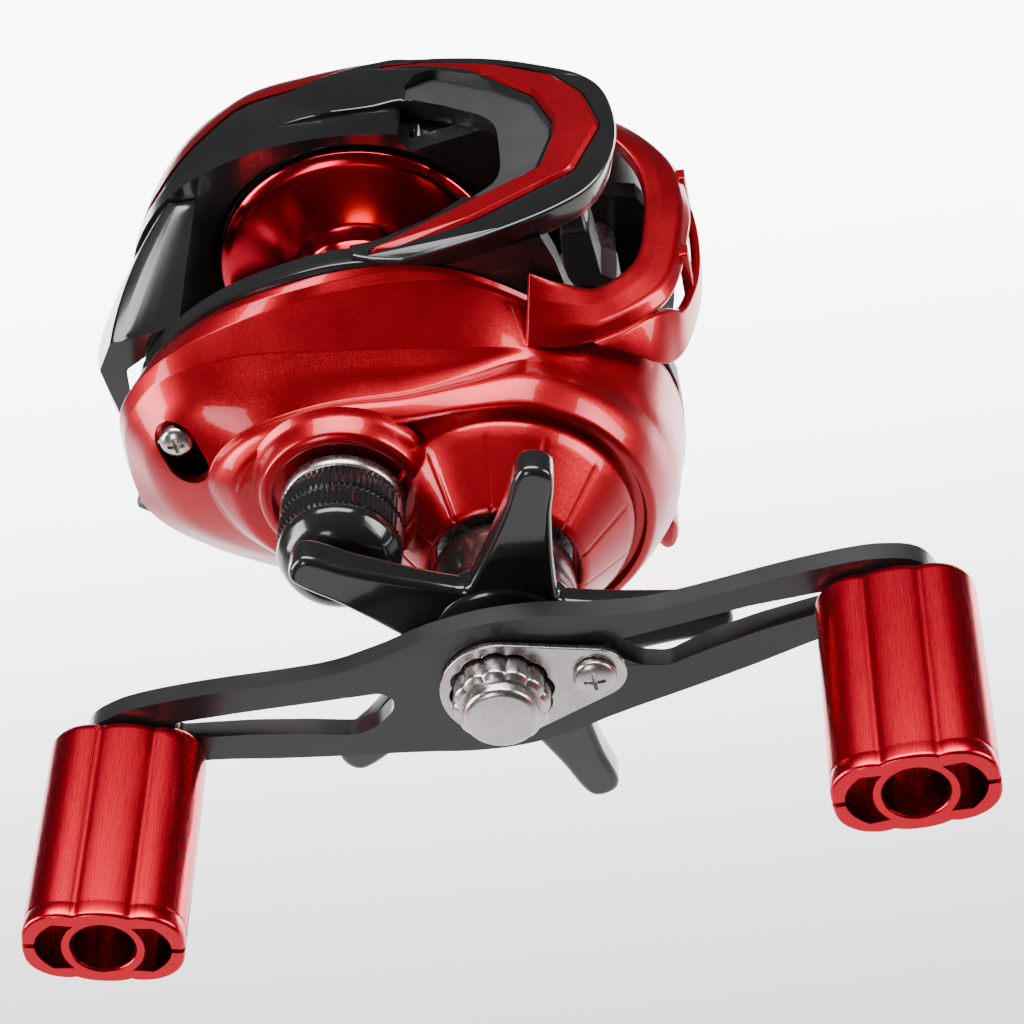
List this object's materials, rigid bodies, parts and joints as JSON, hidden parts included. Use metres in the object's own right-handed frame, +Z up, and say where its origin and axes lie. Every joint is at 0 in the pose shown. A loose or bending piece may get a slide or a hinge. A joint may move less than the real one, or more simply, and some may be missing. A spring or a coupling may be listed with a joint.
{
  "type": "baitcasting reel",
  "caption": "Low-profile baitcasting fishing reel with a star drag, a double crank handle with paddle knobs, a level-wind line guide and a thumb-bar clutch.",
  "frame": {"origin": "middle of the reel foot's flat underside", "axes": "+X to the crank side along the spool axis, +Y forward to the rod tip, +Z up away from the rod"},
  "size_m": [0.122, 0.1074, 0.0588],
  "materials": {
    "candy_red": "clear-coated metallic red, glossy",
    "anodised_red": "bright red anodised, satin",
    "gloss_black": "gloss black moulding",
    "satin_black": "satin black coating",
    "steel": "brushed stainless steel",
    "brass": "machined brass",
    "aluminium": "machined",
    "polymer": "moulded acetal",
    "carbon": "woven carbon friction disc",
    "ceramic": "polished ceramic"
  },
  "bodies": {
    "frame": {"frame": "gloss_black", "reel_foot": "satin_black", "hood": "gloss_black", "hood_inlay": "candy_red", "front_bumper": "candy_red", "crank_cover": "candy_red", "cover_screw": "steel", "palm_cover": "candy_red", "brake_plate": "satin_black", "spool_bearing_palm": "steel", "spool_bearing_crank": "steel", "pinion_bearing": "steel", "crank_bearing": "steel", "one_way_bearing": "steel", "yoke_post_lower": "steel", "yoke_post_upper": "steel", "tension_bush": "steel", "worm_bush_palm": "polymer", "worm_bush_crank": "polymer", "worm_guard": "steel", "guide_rod": "steel"},
    "crank": {"main_shaft": "steel", "drive_gear": "brass", "level_wind_gear": "polymer", "drag_washer": "carbon", "drag_plate": "steel", "one_way_sleeve": "steel", "spring_washer": "steel", "handle_arm": "satin_black", "handle_nut": "steel", "nut_retainer": "steel", "retainer_screw": "steel", "knob_post_front": "steel", "knob_post_rear": "steel", "knob_screw_front": "steel", "knob_screw_rear": "steel"},
    "front_knob": {"knob_front": "anodised_red", "knob_bearing_front": "steel"},
    "rear_knob": {"knob_rear": "anodised_red", "knob_bearing_rear": "steel"},
    "star": {"drag_star": "gloss_black"},
    "cap": {"tension_cap": "gloss_black", "tension_spacer": "brass"},
    "spool": {"spool": "anodised_red", "spool_shaft": "steel", "brake_rotor": "aluminium"},
    "yoke": {"clutch_yoke": "polymer"},
    "pinion": {"pinion": "brass"},
    "worm": {"worm_shaft": "steel", "worm_gear": "polymer"},
    "guide": {"line_guide": "polymer", "line_guide_ring": "ceramic"},
    "thumb_bar": {"thumb_bar": "gloss_black", "clutch_cam": "steel"},
    "dial": {"brake_dial": "gloss_black", "magnet_carrier": "polymer", "brake_magnet_1": "steel", "brake_magnet_2": "steel", "brake_magnet_3": "steel", "brake_magnet_4": "steel"}
  },
  "joints": [
    {"name": "crank_turn", "type": "hinge", "parent": "frame", "child": "crank", "pos_m": [0, 0.01765, 0.0143], "axis": [1, 0, 0], "continuous": true},
    {"name": "spool_turn", "type": "hinge", "parent": "frame", "child": "spool", "pos_m": [0, 0, 0.023], "axis": [1, 0, 0], "continuous": true},
    {"name": "yoke_slide", "type": "slide", "parent": "frame", "child": "yoke", "axis": [1, 0, 0], "range_m": [0, 0.0015]},
    {"name": "pinion_turn", "type": "hinge", "parent": "yoke", "child": "pinion", "pos_m": [0, 0, 0.023], "axis": [1, 0, 0], "continuous": true},
    {"name": "worm_turn", "type": "hinge", "parent": "frame", "child": "worm", "pos_m": [0, 0.0292, 0.0227], "axis": [1, 0, 0], "continuous": true},
    {"name": "line_guide_slide", "type": "slide", "parent": "frame", "child": "guide", "axis": [1, 0, 0], "range_m": [-0.0072, 0.0072]},
    {"name": "thumb_bar_slide", "type": "slide", "parent": "frame", "child": "thumb_bar", "axis": [0, -0.271, -0.9626], "range_m": [0, 0.004]},
    {"name": "star_turn", "type": "hinge", "parent": "crank", "child": "star", "pos_m": [0, 0.01765, 0.0143], "axis": [1, 0, 0], "range_deg": [-150, 150]},
    {"name": "front_knob_turn", "type": "hinge", "parent": "crank", "child": "front_knob", "pos_m": [0.0579, 0.06251, 0.01801], "axis": [1, 0, 0], "continuous": true},
    {"name": "rear_knob_turn", "type": "hinge", "parent": "crank", "child": "rear_knob", "pos_m": [0.0579, -0.027, 0.0086], "axis": [1, 0, 0], "continuous": true},
    {"name": "tension_cap_turn", "type": "hinge", "parent": "frame", "child": "cap", "pos_m": [0, 0, 0.023], "axis": [1, 0, 0], "range_deg": [-180, 180]},
    {"name": "brake_dial_turn", "type": "hinge", "parent": "frame", "child": "dial", "pos_m": [0, 0, 0.023], "axis": [1, 0, 0], "range_deg": [0, 270]}
  ],
  "couplings": [
    {"joint": "spool_turn", "follows": "crank_turn", "ratio": -7.2},
    {"joint": "pinion_turn", "follows": "crank_turn", "ratio": -7.2},
    {"joint": "worm_turn", "follows": "crank_turn", "ratio": -2.2222},
    {"joint": "yoke_slide", "follows": "thumb_bar_slide", "ratio": 0.375}
  ]
}
